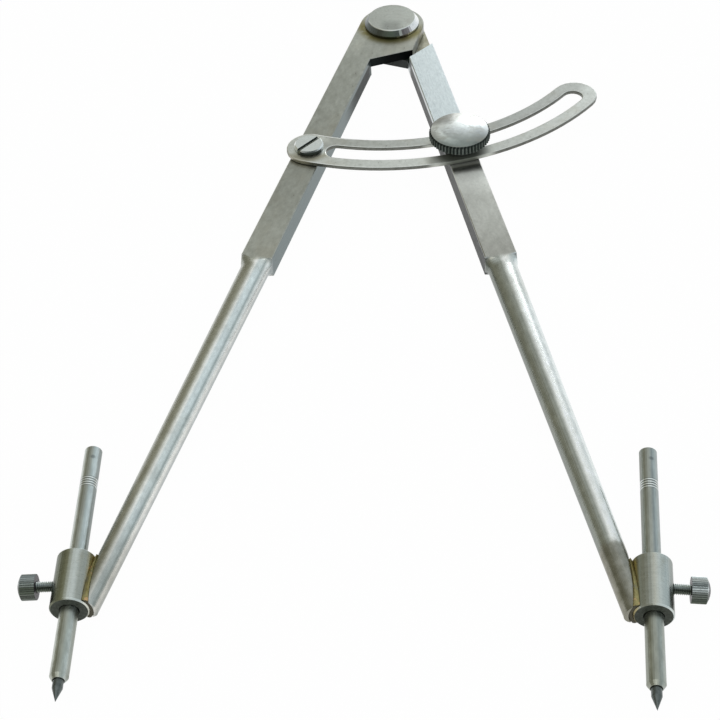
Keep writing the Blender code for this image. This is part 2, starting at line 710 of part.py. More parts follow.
def main():
    clear_scene()
    materials = {
        "leg": steel("leg_steel", (0.33, 0.34, 0.32), 0.38),
        "disc": steel("disc_steel", (0.42, 0.43, 0.41), 0.32),
        "arc": steel("arc_steel", (0.48, 0.49, 0.47), 0.30),
        "knob": steel("knob_steel", (0.50, 0.50, 0.49), 0.22),
        "dark": steel("dark_steel", (0.26, 0.27, 0.26), 0.40),
        "block": steel("block_steel", (0.36, 0.36, 0.35), 0.34),
        "rod": steel("scriber_steel", (0.28, 0.28, 0.28), 0.42),
        "screw": steel("screw_steel", (0.24, 0.24, 0.22), 0.36),
        "braze": steel("braze_bronze", (0.36, 0.27, 0.13), 0.45),
        "carbide": steel("carbide", (0.13, 0.13, 0.14), 0.35),
    }
    centre = compass_centre()
    compass = frame("compass", None, (-centre.x, -centre.y, REST_HEIGHT))
    left_frame = frame("left_leg_frame", compass, turn=LEFT * HALF_OPENING)
    right_frame = frame("right_leg_frame", compass, turn=RIGHT * HALF_OPENING)
    make_left_leg(materials["leg"], left_frame)
    make_right_leg(materials["leg"], right_frame)
    make_hinge_bolt(materials["disc"], left_frame)
    make_hinge_nut(materials["dark"], left_frame)
    make_arc_bar(materials["arc"], left_frame)
    make_arc_screw(materials["arc"], left_frame)
    make_lock(materials, right_frame)
    make_leg_end("left", LEFT, THUMB_LEFT_DROP, materials, left_frame)
    make_leg_end("right", RIGHT, THUMB_RIGHT_DROP, materials, right_frame)
    bpy.context.view_layer.update()


main()
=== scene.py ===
"""Looks of the drawing compass: its materials, screw threads, floor, light and camera.

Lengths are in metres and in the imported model's frame. A material reads places in millimetres in the frame
of the piece that it belongs to: a leg's frame has the hinge at its origin and the leg running down -Y, and
a clamp's frame has the block's middle at its origin and the scriber running down -Y.
"""

import json
import math

import bmesh
import bpy
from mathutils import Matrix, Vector


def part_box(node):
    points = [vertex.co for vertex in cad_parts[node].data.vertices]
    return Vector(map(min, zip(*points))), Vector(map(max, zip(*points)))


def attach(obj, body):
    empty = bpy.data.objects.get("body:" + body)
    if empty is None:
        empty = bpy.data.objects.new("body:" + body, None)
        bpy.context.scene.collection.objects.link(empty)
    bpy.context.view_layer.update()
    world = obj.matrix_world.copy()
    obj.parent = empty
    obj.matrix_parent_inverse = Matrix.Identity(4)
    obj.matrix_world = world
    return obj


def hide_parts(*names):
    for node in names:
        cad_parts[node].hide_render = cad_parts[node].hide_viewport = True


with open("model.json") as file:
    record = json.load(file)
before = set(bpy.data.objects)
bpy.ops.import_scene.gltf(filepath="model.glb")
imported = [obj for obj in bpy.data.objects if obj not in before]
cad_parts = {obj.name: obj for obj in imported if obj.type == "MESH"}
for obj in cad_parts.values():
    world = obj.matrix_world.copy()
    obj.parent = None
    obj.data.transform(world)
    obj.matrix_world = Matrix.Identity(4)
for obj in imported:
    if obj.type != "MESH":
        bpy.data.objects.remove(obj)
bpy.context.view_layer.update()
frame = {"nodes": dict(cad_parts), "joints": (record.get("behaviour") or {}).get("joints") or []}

MM = 0.001
JOINTS = {joint["name"]: joint for joint in frame["joints"]}

# Places and angles of the model
HINGE = JOINTS["leg_hinge"]["pos_m"]
KNOB = JOINTS["knob_turn"]["pos_m"]
HALF_OPENING = math.radians(13.32)
SCRIBER_TILT = math.radians(16.69)
CLAMP_TURN = HALF_OPENING - SCRIBER_TILT
CLAMP_LEFT = (-0.103848, -0.163416, HINGE[2])
CLAMP_RIGHT = (0.103771, -0.163416, HINGE[2])
ARC_SCREW = (-0.035594, 0.086887, HINGE[2])
ARC_SLOT_TURN = math.radians(48.7)
ARC_RADIUS = 114.6
ARC_HALF_WIDTH = 10.7
BAR_LENGTH = 191.8
DISC_RADIUS = 14.1
DISC_FACE_RADIUS = 12.1
KNOB_RADIUS = 14.25
BAR_CENTRE = 9.5
LEFT_ROD_TOP_RADIUS = 6.22
RIGHT_ROD_TOP_RADIUS = 6.37
ROD_END = 382.2
ROD_END_RADIUS = 4.65
BLOCK_RADIUS = 7.25
BLOCK_HALF_LENGTH = 11.5
SCRIBER_RADIUS = 3.4
GRIP_RADIUS = 4.75

# Marks along a leg and a scriber, in mm, among them stains and painted shade
STAIN_AND_SHADE_END = 46.0
STAIN_AND_SHADE_FULL = 40.0
# Half length of the painted shadow under the arc bar on the right leg.
ARC_COVER = 8.5
LEFT_JOINT_STAIN = (330.0, 372.0)
LEFT_JOINT_SHARE = 0.55
RIGHT_JOINT_STAIN = (353.0, 359.0)
RIGHT_JOINT_SHARE = 0.90
RINGS_MIDDLE = 46.9
RINGS_HALF_LENGTH = 2.3
RING_PITCH = 1.18
DOT_PLACE = (0.9, 59.0)

# Tilts of the directions across the turned pieces, toward the photographed side
# These tilts set where the painted reflection bands lie round each turned piece.
LEFT_ROD_TILT = math.radians(-25.0)
RIGHT_ROD_TILT = math.radians(17.1)
LEFT_CLAMP_TILT = math.radians(-15.8)
RIGHT_CLAMP_TILT = math.radians(6.2)
SCREW_TILT = math.radians(36.3)

# Thumbscrew thread
THREAD_RADIUS = 2.0
THREAD_DEPTH = 0.34
THREAD_PITCH = 0.7
THREAD_SIDES = 24
THREAD_STEPS_PER_TURN = 8
THREAD_LEAD = 0.4
THREAD_SHARP_ANGLE = math.radians(60)

# Camera
CAMERA_PLACE = (0.03777, -0.484834, 0.442118)
CAMERA_ANGLES = (45.1672, 2.8928, 2.7625)
CAMERA_LENS = 75.0
CAMERA_SENSOR = 36.0

# Floor: half its side in metres, its colour, and the share of it that shows as plain white
FLOOR_HALF = 60.0
FLOOR_COLOR = (0.9, 0.9, 0.9, 1.0)
WHITE_SHARE = 0.98

# Studio colours and the directions between which they change
STUDIO_LEFT = (0.34, 0.335, 0.27, 1.0)
STUDIO_RIGHT = (0.62, 0.67, 0.69, 1.0)
STUDIO_ABOVE = (0.80, 0.83, 0.84, 1.0)
ACROSS_CHANGE = (-0.45, 0.35)
ABOVE_CHANGE = (0.55, 0.95)

# Surface settings shared by all materials
SPECULAR_LEVEL = 0.03
CORNER_SAMPLES = 4
NOISE_RANGE = (0.28, 0.72)

# Steel tones of the painted reflection bands, from painted shade to a painted highlight
DEEP_SHADE = (0.10, 0.12, 0.09)
SHADOW = (0.18, 0.20, 0.18)
DUSKY = (0.30, 0.34, 0.34)
OLIVE = (0.30, 0.31, 0.22)
DULL = (0.39, 0.41, 0.37)
MIDDLE = (0.46, 0.52, 0.51)
WARM = (0.54, 0.54, 0.47)
PLAIN = (0.60, 0.64, 0.61)
COOL = (0.73, 0.80, 0.80)
BRIGHT = (1.00, 1.00, 0.96)
BRASSY = (0.50, 0.40, 0.20)

# Painted reflection bands across the turned pieces, light and dark, from -1 on the left to 1 on the right
LEFT_ROD_TONES = (
    (-1.0, DULL),
    (-0.45, WARM),
    (-0.2, BRIGHT),
    (-0.05, COOL),
    (0.25, COOL),
    (0.4, MIDDLE),
    (0.6, BRIGHT),
    (1.0, DUSKY),
)
RIGHT_ROD_TONES = (
    (-1.0, SHADOW),
    (-0.55, DULL),
    (0.05, DULL),
    (0.35, BRIGHT),
    (0.6, BRIGHT),
    (1.0, COOL),
)
LEFT_BLOCK_TONES = (
    (-1.0, DEEP_SHADE),
    (-0.5, OLIVE),
    (-0.2, PLAIN),
    (0.0, PLAIN),
    (0.2, DULL),
    (0.5, DULL),
    (0.7, PLAIN),
    (1.0, BRASSY),
)
RIGHT_BLOCK_TONES = (
    (-1.0, DEEP_SHADE),
    (-0.65, MIDDLE),
    (-0.5, DULL),
    (-0.1, DULL),
    (0.1, WARM),
    (0.35, PLAIN),
    (0.7, MIDDLE),
    (1.0, SHADOW),
)
LEFT_SCRIBER_TONES = (
    (-1.0, PLAIN),
    (-0.75, PLAIN),
    (-0.6, DULL),
    (-0.2, DULL),
    (0.1, MIDDLE),
    (0.5, COOL),
    (0.75, DUSKY),
    (1.0, SHADOW),
)
RIGHT_SCRIBER_TONES = (
    (-1.0, SHADOW),
    (-0.5, DULL),
    (0.1, DULL),
    (0.4, DUSKY),
    (0.6, MIDDLE),
    (1.0, DUSKY),
)
LEFT_GRIP_TONES = (
    (-1.0, SHADOW),
    (-0.65, SHADOW),
    (-0.5, DEEP_SHADE),
    (-0.05, DEEP_SHADE),
    (0.25, MIDDLE),
    (0.5, DUSKY),
    (1.0, DUSKY),
)
RIGHT_GRIP_TONES = (
    (-1.0, DEEP_SHADE),
    (-0.3, SHADOW),
    (0.1, COOL),
    (0.35, DUSKY),
    (0.55, DUSKY),
    (0.8, PLAIN),
    (1.0, COOL),
)
SHANK_TONES = (
    (-1.0, DEEP_SHADE),
    (0.0, SHADOW),
    (0.35, DUSKY),
    (0.55, PLAIN),
    (1.0, COOL),
)

# Side, place, tilt and painted reflection tones of each clamp, with its block, scriber and grip
CLAMPS = {
    "left": (-1, CLAMP_LEFT, LEFT_CLAMP_TILT, LEFT_BLOCK_TONES, LEFT_SCRIBER_TONES, LEFT_GRIP_TONES),
    "right": (1, CLAMP_RIGHT, RIGHT_CLAMP_TILT, RIGHT_BLOCK_TONES, RIGHT_SCRIBER_TONES, RIGHT_GRIP_TONES),
}


class Paint:
    """Builds one procedural material, node by node."""

    def __init__(self, name, location=(0, 0, 0), turn=0.0):
        self.material = bpy.data.materials.new(name)
        self.material.use_nodes = True
        self.tree = self.material.node_tree
        self.shader = self.tree.nodes["Principled BSDF"]
        source = self.node("ShaderNodeTexCoord")
        place = self.node("ShaderNodeMapping", vector_type="TEXTURE")
        place.inputs["Location"].default_value = location
        place.inputs["Rotation"].default_value = (0, 0, turn)
        place.inputs["Scale"].default_value = (MM, MM, MM)
        self.tree.links.new(source.outputs["Object"], place.inputs["Vector"])
        self.place = place.outputs["Vector"]
        self.x, self.y, self.z = self.split(self.place)
        lean = self.node("ShaderNodeMapping", vector_type="TEXTURE")
        lean.inputs["Rotation"].default_value = (0, 0, turn)
        self.tree.links.new(source.outputs["Normal"], lean.inputs["Vector"])
        self.lean_x, self.lean_y, self.lean_z = self.split(lean.outputs["Vector"])

    def node(self, kind, **settings):
        made = self.tree.nodes.new(kind)
        for name, value in settings.items():
            setattr(made, name, value)
        return made

    def feed(self, socket, value):
        if isinstance(value, bpy.types.NodeSocket):
            self.tree.links.new(value, socket)
        elif isinstance(value, tuple) and len(value) == 3 and socket.type == "RGBA":
            socket.default_value = (*value, 1.0)
        else:
            socket.default_value = value

    def split(self, vector):
        parts = self.node("ShaderNodeSeparateXYZ")
        self.feed(parts.inputs[0], vector)
        return parts.outputs["X"], parts.outputs["Y"], parts.outputs["Z"]

    def math(self, operation, first, second=0.0, third=0.0):
        made = self.node("ShaderNodeMath", operation=operation)
        for socket, value in zip(made.inputs, (first, second, third)):
            self.feed(socket, value)
        return made.outputs[0]

    def plus(self, first, second):
        return self.math("ADD", first, second)

    def times(self, first, second):
        return self.math("MULTIPLY", first, second)

    def inverse(self, value):
        return self.math("SUBTRACT", 1.0, value)

    def size(self, value):
        return self.math("ABSOLUTE", value)

    def band(self, value, low, high):
        """0 below low and 1 above high, smooth between. low may be the greater."""
        made = self.node("ShaderNodeMapRange", interpolation_type="SMOOTHSTEP")
        self.feed(made.inputs["Value"], value)
        self.feed(made.inputs["From Min"], low)
        self.feed(made.inputs["From Max"], high)
        return made.outputs["Result"]

    def bump_band(self, value, centre, half_width, soft):
        """1 within half_width of the centre and 0 beyond the soft edge."""
        away = self.size(self.math("SUBTRACT", value, centre))
        return self.band(away, half_width + soft, half_width)

    def distance(self, x, y, centre=(0.0, 0.0)):
        across = self.math("SUBTRACT", x, centre[0])
        along = self.math("SUBTRACT", y, centre[1])
        return self.math("SQRT", self.plus(self.times(across, across), self.times(along, along)))

    def noise(
        self, scale, stretch=(1, 1, 1), detail=3.0, roughness=0.55, shift=(0, 0, 0), distortion=0.0
    ):
        """Full contrast noise from 0 to 1. scale is in features for each millimetre."""
        mapping = self.node("ShaderNodeMapping")
        mapping.inputs["Location"].default_value = shift
        mapping.inputs["Scale"].default_value = stretch
        self.feed(mapping.inputs["Vector"], self.place)
        made = self.node("ShaderNodeTexNoise")
        self.feed(made.inputs["Vector"], mapping.outputs["Vector"])
        made.inputs["Scale"].default_value = scale
        made.inputs["Detail"].default_value = detail
        made.inputs["Roughness"].default_value = roughness
        made.inputs["Distortion"].default_value = distortion
        spread = self.node("ShaderNodeMapRange")
        self.feed(spread.inputs["Value"], made.outputs["Fac"])
        spread.inputs["From Min"].default_value = NOISE_RANGE[0]
        spread.inputs["From Max"].default_value = NOISE_RANGE[1]
        return spread.outputs["Result"]

    def mix(self, factor, first, second):
        made = self.node("ShaderNodeMix", data_type="RGBA", clamp_factor=True)
        self.feed(made.inputs[0], factor)
        self.feed(made.inputs[6], first)
        self.feed(made.inputs[7], second)
        return made.outputs[2]

    def shade(self, color, value, low, high):
        """Colour made darker or lighter, by low where the value is 0 and by high where it is 1."""
        factor = self.plus(low, self.times(value, high - low))
        made = self.node("ShaderNodeVectorMath", operation="SCALE")
        self.feed(made.inputs[0], color)
        self.feed(made.inputs["Scale"], factor)
        return made.outputs[0]

    def ramp(self, value, stops):
        """Colour from stops of (place, colour), the places running from -1 to 1."""
        made = self.node("ShaderNodeValToRGB")
        self.feed(made.inputs["Fac"], self.math("MULTIPLY_ADD", value, 0.5, 0.5))
        points = made.color_ramp.elements
        for point, (place, color) in ((points[0], stops[0]), (points[1], stops[-1])):
            point.position = (place + 1) / 2
            point.color = (*color, 1.0)
        for place, color in stops[1:-1]:
            points.new((place + 1) / 2).color = (*color, 1.0)
        return made.outputs["Color"]

    def round_tone(self, first, second, tilt, radius, stops):
        """Painted reflection bands across a turned piece. first and second are places across its axis."""
        across = self.plus(self.times(first, math.cos(tilt)), self.times(second, math.sin(tilt)))
        return self.ramp(self.math("DIVIDE", across, radius), stops)

    def finish(self, color, roughness, height, depth, edge=0.25, soil_and_shade=None):
        """Sets the surface. depth is the height's range and edge the softening of corners, in mm."""
        self.feed(self.shader.inputs["Base Color"], color)
        self.feed(self.shader.inputs["Roughness"], roughness)
        self.shader.inputs["Specular IOR Level"].default_value = SPECULAR_LEVEL
        # The last argument marks soiling, painted shade and painted light, which are made dull, not
        # metallic.
        self.feed(self.shader.inputs["Metallic"], 1.0 if soil_and_shade is None else self.inverse(soil_and_shade))
        bump = self.node("ShaderNodeBump")
        bump.inputs["Strength"].default_value = 1.0
        bump.inputs["Distance"].default_value = depth * MM
        self.feed(bump.inputs["Height"], height)
        if edge:
            corner = self.node("ShaderNodeBevel", samples=CORNER_SAMPLES)
            corner.inputs["Radius"].default_value = edge * MM
            self.feed(bump.inputs["Normal"], corner.outputs["Normal"])
        self.feed(self.shader.inputs["Normal"], bump.outputs["Normal"])
        return self.material


def left_bar_tone(paint, station, outward, flat, mottle, cloud):
    """Colour and dull mask of the left leg's bar and plate, with painted shade on its inner side."""
    face = paint.mix(mottle, (0.37, 0.375, 0.335), (0.475, 0.485, 0.44))
    face = paint.mix(paint.times(paint.band(cloud, 0.45, 0.90), 0.5), face, (0.40, 0.385, 0.32))
    face = paint.shade(face, paint.band(station, 146.0, 182.0), 1.0, 1.17)
    low_plate = paint.times(paint.band(outward, 6.0, 13.0), paint.band(station, 36.0, 22.0))
    face = paint.shade(face, low_plate, 1.0, 1.22)
    # Painted shade on the bar's inner side, near black on its lower part near the hinge.
    inner = paint.band(paint.lean_x, 0.2, 0.5)
    wall = paint.mix(mottle, (0.30, 0.31, 0.29), (0.40, 0.41, 0.39))
    wall = paint.mix(inner, wall, paint.mix(mottle, (0.085, 0.12, 0.12), (0.14, 0.185, 0.185)))
    top = paint.times(paint.band(station, 84.0, 56.0), paint.band(station, 30.0, 38.0))
    top = paint.times(paint.times(top, paint.band(paint.z, 3.2, 2.0)), inner)
    wall = paint.mix(top, wall, (0.055, 0.063, 0.06))
    rim = paint.times(paint.band(station, 33.0, 28.0), paint.band(paint.lean_x, 0.15, 0.40))
    wall = paint.mix(rim, wall, (0.30, 0.33, 0.37))
    soil_and_shade = paint.times(top, paint.inverse(rim))
    return paint.mix(flat, wall, face), paint.times(soil_and_shade, paint.inverse(flat))


def right_bar_tone(paint, station, flat, mottle):
    """Colour and dull mask of the right leg's bar and plate, with painted sheen, light and shade."""
    # Painted sheen: the streaked face is bright above the knob and duller below it.
    streak = paint.noise(1.6, (1.0, 0.12, 1.0), detail=4.0, roughness=0.6, shift=(4, 2, 6))
    face = paint.mix(streak, (0.62, 0.68, 0.705), (0.80, 0.86, 0.88))
    dull = paint.mix(mottle, (0.52, 0.52, 0.48), (0.61, 0.61, 0.57))
    low = paint.mix(mottle, (0.39, 0.385, 0.35), (0.47, 0.465, 0.425))
    dull = paint.mix(paint.band(station, 160.0, 192.0), dull, low)
    below = paint.band(station, 118.0, 124.0)
    face = paint.mix(below, face, dull)
    # Painted light: a pale band below the arc bar.
    light_and_shade_near_knob = paint.times(paint.band(station, 129.0, 134.0), paint.band(station, 154.0, 138.0))
    light_and_shade_near_knob = paint.times(light_and_shade_near_knob, flat)
    face = paint.mix(light_and_shade_near_knob, face, (0.92, 0.93, 0.88))
    wall = paint.mix(mottle, (0.52, 0.56, 0.57), (0.62, 0.66, 0.67))
    # Painted shade on the lower part of the inner side.
    border = paint.math("SUBTRACT", paint.z, paint.times(below, 2.2))
    inner = paint.times(paint.band(paint.lean_x, -0.2, -0.5), paint.band(station, 30.0, 38.0))
    inner = paint.math("MAXIMUM", inner, paint.band(paint.lean_y, -0.3, -0.6))
    dark = paint.times(paint.times(paint.band(border, 2.9, 1.9), paint.inverse(flat)), inner)
    wall = paint.mix(dark, wall, (0.085, 0.09, 0.09))
    # Painted shadow, near black, under and just below the arc bar.
    shade_under_cover = paint.bump_band(station, ARC_RADIUS, ARC_COVER, 5.0)
    color = paint.mix(paint.times(shade_under_cover, 0.85), paint.mix(flat, wall, face), (0.02, 0.024, 0.02))
    soil_and_shade = paint.math("MAXIMUM", dark, paint.times(light_and_shade_near_knob, 0.6))
    return color, paint.math("MAXIMUM", soil_and_shade, paint.times(shade_under_cover, 0.85))


def stain_and_shade_on_left_plate(paint, color, soil_and_shade, station, flat, warm):
    """Olive stain round the disc and painted shade on the plate's lower edge."""
    low_side = paint.band(paint.y, 6.0, -6.0)
    reach = paint.distance(paint.x, paint.y)
    halo = paint.band(reach, DISC_RADIUS + 6.5, DISC_RADIUS + 1.5)
    halo = paint.times(paint.times(halo, paint.band(warm, -0.5, 0.45)), low_side)
    color = paint.mix(paint.times(halo, 0.92), color, (0.21, 0.18, 0.055))
    # Painted shade, near black, on the plate's lower edge by the hinge, darkest toward the other leg.
    lip = paint.times(paint.inverse(flat), paint.band(station, STAIN_AND_SHADE_END, STAIN_AND_SHADE_FULL))
    lip = paint.times(lip, paint.band(paint.lean_y, -0.3, -0.6))
    lip_shade = paint.mix(paint.band(paint.x, -4.0, 7.0), (0.02, 0.026, 0.025), (0.004, 0.005, 0.005))
    return paint.mix(lip, color, lip_shade), paint.math("MAXIMUM", soil_and_shade, lip)


def stain_and_shade_on_right_plate(paint, color, soil_and_shade, station, outward, flat, warm):
    """Brown stain on the lower plate and painted shade where the upper one covers it."""
    lap = paint.times(paint.band(station, STAIN_AND_SHADE_END, STAIN_AND_SHADE_FULL), paint.band(paint.z, 1.2, 0.2))
    lap = paint.times(lap, flat)
    stain = paint.mix(warm, (0.27, 0.25, 0.17), (0.52, 0.50, 0.41))
    # Painted shade, near black, where the upper plate covers the lower one.
    shade_under_cover = paint.band(paint.math("MULTIPLY_ADD", station, -0.5, outward), -4.0, -8.0)
    color = paint.mix(lap, color, paint.mix(shade_under_cover, stain, (0.018, 0.023, 0.018)))
    return color, paint.math("MAXIMUM", soil_and_shade, paint.times(lap, shade_under_cover))


def leg_paint(name, turn, side):
    """Brushed flat bar, stained plate and drawn rod of one leg, with painted shade and painted reflection
    bands.
    """
    paint = Paint(name, HINGE, turn)
    station = paint.times(paint.y, -1.0)
    outward = paint.times(paint.x, float(side))
    cloud = paint.noise(0.06, (1.0, 0.6, 1.0), detail=4.0)
    mottle = paint.noise(0.45, (1.0, 0.45, 1.0), detail=5.0, roughness=0.65, shift=(7, 3, 1))
    grain = paint.noise(0.9, (1.0, 0.7, 1.0), detail=3.0, roughness=0.7, shift=(3, 8, 2))
    streak = paint.noise(1.6, (1.0, 0.03, 1.0), detail=4.0, roughness=0.6, shift=(2, 9, 4))
    ring = paint.noise(1.8, (0.05, 1.0, 0.05), detail=3.0, roughness=0.7, shift=(5, 1, 8))
    warm = paint.noise(0.22, detail=4.0, roughness=0.6, shift=(1, 2, 3))
    on_rod = paint.band(station, BAR_LENGTH - 0.6, BAR_LENGTH + 2.4)
    flat = paint.band(paint.size(paint.lean_z), 0.45, 0.75)
    if side < 0:
        bar, soil_and_shade = left_bar_tone(paint, station, outward, flat, mottle, cloud)
        bar, soil_and_shade = stain_and_shade_on_left_plate(paint, bar, soil_and_shade, station, flat, warm)
        tilt, stops, top_radius = LEFT_ROD_TILT, LEFT_ROD_TONES, LEFT_ROD_TOP_RADIUS
        stain, share = LEFT_JOINT_STAIN, LEFT_JOINT_SHARE
    else:
        bar, soil_and_shade = right_bar_tone(paint, station, flat, mottle)
        bar, soil_and_shade = stain_and_shade_on_right_plate(paint, bar, soil_and_shade, station, outward, flat, warm)
        tilt, stops, top_radius = RIGHT_ROD_TILT, RIGHT_ROD_TONES, RIGHT_ROD_TOP_RADIUS
        stain, share = RIGHT_JOINT_STAIN, RIGHT_JOINT_SHARE
    slope = (ROD_END_RADIUS - top_radius) / (ROD_END - BAR_LENGTH)
    radius = paint.math("MULTIPLY_ADD", station, slope, top_radius - slope * BAR_LENGTH)
    across = paint.math("SUBTRACT", paint.x, side * BAR_CENTRE)
    # Painted reflection bands across the rod.
    rod = paint.round_tone(across, paint.z, tilt, radius, stops)
    rod = paint.mix(paint.times(paint.band(cloud, 0.50, 1.0), 0.25), rod, (0.42, 0.40, 0.31))
    joint = paint.times(paint.band(paint.plus(station, paint.times(warm, 6.0)), *stain), share)
    rod = paint.mix(joint, rod, paint.mix(warm, (0.17, 0.165, 0.12), (0.32, 0.315, 0.27)))
    rod = paint.shade(rod, mottle, 0.86, 1.14)
    color = paint.shade(paint.mix(on_rod, bar, rod), grain, 0.92, 1.08)
    soil_and_shade = paint.times(soil_and_shade, paint.inverse(on_rod))
    roughness = paint.plus(0.27, paint.times(mottle, 0.10))
    roughness = paint.plus(roughness, paint.times(on_rod, -0.05))
    fine = paint.plus(paint.times(streak, paint.inverse(on_rod)), paint.times(ring, on_rod))
    height = paint.plus(paint.times(fine, 0.6), paint.times(grain, 0.4))
    return paint.finish(color, roughness, height, depth=0.010, edge=0.07, soil_and_shade=soil_and_shade)


def disc_paint():
    """Turned head of the hinge bolt, with painted reflections on its chamfer, dark in front and bright at
    the back.
    """
    paint = Paint("disc_steel", HINGE)
    cloud = paint.noise(0.10, detail=4.0)
    mottle = paint.noise(0.9, detail=5.0, roughness=0.65)
    brush = paint.noise(1.4, (0.05, 1.0, 1.0), detail=3.0)
    flat = paint.band(paint.lean_z, 0.86, 0.97)
    face = paint.mix(mottle, (0.43, 0.445, 0.41), (0.53, 0.545, 0.51))
    face = paint.mix(paint.band(cloud, 0.5, 0.9), face, (0.43, 0.43, 0.40))
    face = paint.shade(face, brush, 0.95, 1.05)
    # Painted shade on the front middle of the face.
    front = paint.times(paint.bump_band(paint.x, 0.0, 2.5, 4.5), paint.band(paint.y, -1.0, -7.0))
    face = paint.shade(face, front, 1.0, 0.72)
    # Painted reflections round the chamfer, set by the way it faces.
    chamfer = paint.ramp(paint.lean_x, (
        (-1.0, (0.24, 0.25, 0.23)),
        (-0.70, (0.22, 0.25, 0.27)),
        (-0.40, (0.10, 0.11, 0.10)),
        (0.0, (0.07, 0.09, 0.07)),
        (0.24, (0.09, 0.10, 0.09)),
        (0.30, (0.42, 0.44, 0.40)),
        (0.36, (0.14, 0.13, 0.13)),
        (0.56, (0.26, 0.24, 0.24)),
        (0.66, (1.0, 1.0, 1.0)),
        (0.86, (0.92, 0.96, 0.98)),
        (1.0, (0.60, 0.66, 0.69)),
    ))
    # Painted highlight on the back of the chamfer.
    back = paint.times(paint.band(paint.lean_y, -0.05, 0.25), paint.band(paint.lean_x, -0.3, 0.3))
    chamfer = paint.mix(back, chamfer, (0.95, 0.97, 0.96))
    chamfer = paint.shade(chamfer, mottle, 0.88, 1.12)
    # Painted highlight along the front edge of the face.
    rim = paint.bump_band(paint.distance(paint.x, paint.y), DISC_FACE_RADIUS, 0.18, 0.15)
    rim = paint.times(rim, paint.band(paint.y, -1.0, -4.0))
    color = paint.mix(flat, chamfer, face)
    color = paint.mix(paint.times(rim, 0.8), color, (0.80, 0.83, 0.80))
    return paint.finish(color, paint.plus(0.26, paint.times(mottle, 0.10)), brush, depth=0.005, edge=0.12)


def arc_paint():
    """Satin arc bar with painted highlights on its rims and by its screw, painted shade on its sides and a
    painted knob shadow.
    """
    paint = Paint("arc_steel", HINGE)
    mottle = paint.noise(0.5, detail=4.0, roughness=0.6)
    cloud = paint.noise(0.07, detail=4.0, shift=(3, 3, 3))
    speck = paint.noise(0.8, detail=2.0, shift=(8, 1, 5))
    face = paint.mix(mottle, (0.50, 0.51, 0.48), (0.60, 0.61, 0.58))
    face = paint.mix(paint.times(paint.band(cloud, 0.45, 0.90), 0.4), face, (0.47, 0.45, 0.38))
    reach = paint.distance(paint.x, paint.y)
    # Painted light on the outer band and painted shade toward the right end.
    outer = paint.band(reach, ARC_RADIUS - 3.0, ARC_RADIUS + 3.0)
    face = paint.shade(face, outer, 1.0, 1.32)
    right = paint.band(paint.x, 36.0, 52.0)
    face = paint.shade(face, right, 1.0, 0.76)
    face = paint.mix(paint.times(paint.band(speck, 0.80, 0.95), 0.4), face, (0.24, 0.24, 0.19))
    # Painted shade on the sides and painted highlights on the rounded rims.
    side = paint.mix(mottle, (0.10, 0.105, 0.09), (0.19, 0.195, 0.175))
    color = paint.mix(paint.band(paint.lean_z, 0.35, 0.55), side, (0.85, 0.87, 0.83))
    color = paint.mix(paint.band(paint.lean_z, 0.88, 0.97), color, face)
    screw = tuple((ARC_SCREW[axis] - HINGE[axis]) / MM for axis in (0, 1))
    # Painted highlight above the screw and painted shade below it.
    head_zone = paint.band(paint.distance(paint.x, paint.y, screw), 12.5, 9.5)
    height = paint.math("SUBTRACT", paint.y, screw[1])
    color = paint.shade(color, paint.times(head_zone, paint.band(height, 1.0, 7.0)), 1.0, 1.35)
    color = paint.mix(paint.times(head_zone, paint.band(height, -3.0, -7.5)), color, (0.48, 0.46, 0.37))
    # Painted shadow of the knob, dark at its middle, with a paler ring round it.
    knob = ((KNOB[0] - HINGE[0]) / MM - 0.5, (KNOB[1] - HINGE[1]) / MM - 4.0)
    away = paint.distance(paint.x, paint.y, knob)
    light_and_shade_near_knob = paint.band(away, 19.0, 14.0)
    knob_shadow_tone = paint.mix(paint.band(away, 14.5, 8.0), (0.62, 0.63, 0.58), (0.20, 0.21, 0.18))
    color = paint.mix(light_and_shade_near_knob, color, knob_shadow_tone)
    # Painted highlight on the inner rim beside the screw.
    glint = paint.bump_band(reach, ARC_RADIUS - ARC_HALF_WIDTH + 0.35, 0.35, 0.25)
    glint = paint.times(glint, paint.bump_band(paint.x, -26.0, 7.0, 8.0))
    color = paint.mix(glint, color, (1.0, 1.0, 0.98))
    roughness = paint.plus(0.27, paint.times(mottle, 0.10))
    soil_and_shade = paint.times(light_and_shade_near_knob, 0.6)
    return paint.finish(color, roughness, mottle, depth=0.003, edge=0.0, soil_and_shade=soil_and_shade)


def arc_screw_paint():
    """Bright slotted head with painted shade on its lower side, and soiling and painted shade in its slot.
    """
    paint = Paint("screw_head_steel", ARC_SCREW, ARC_SLOT_TURN)
    mottle = paint.noise(0.8, detail=4.0)
    color = paint.mix(mottle, (0.88, 0.93, 0.93), (0.97, 1.0, 1.0))
    # Painted shade on the lower side of the head.
    low_edge = paint.band(paint.plus(paint.lean_y, paint.times(paint.lean_x, 0.8)), -0.55, -0.95)
    color = paint.mix(low_edge, color, (0.05, 0.06, 0.055))
    # The slot painted dark: soiling and painted shade.
    slot = paint.bump_band(paint.y, 0.0, 0.72, 0.12)
    color = paint.mix(slot, color, (0.13, 0.135, 0.095))
    soil_and_shade = paint.math("MAXIMUM", slot, paint.times(low_edge, 0.5))
    return paint.finish(color, 0.24, mottle, depth=0.003, edge=0.12, soil_and_shade=soil_and_shade)


def satin_paint(name, dark, light, roughness):
    """Plain dark metal with fine mottling."""
    paint = Paint(name, HINGE)
    mottle = paint.noise(0.9, detail=5.0, roughness=0.65)
    color = paint.mix(mottle, dark, light)
    spread = paint.plus(roughness, paint.times(mottle, 0.10))
    return paint.finish(color, spread, mottle, depth=0.010)


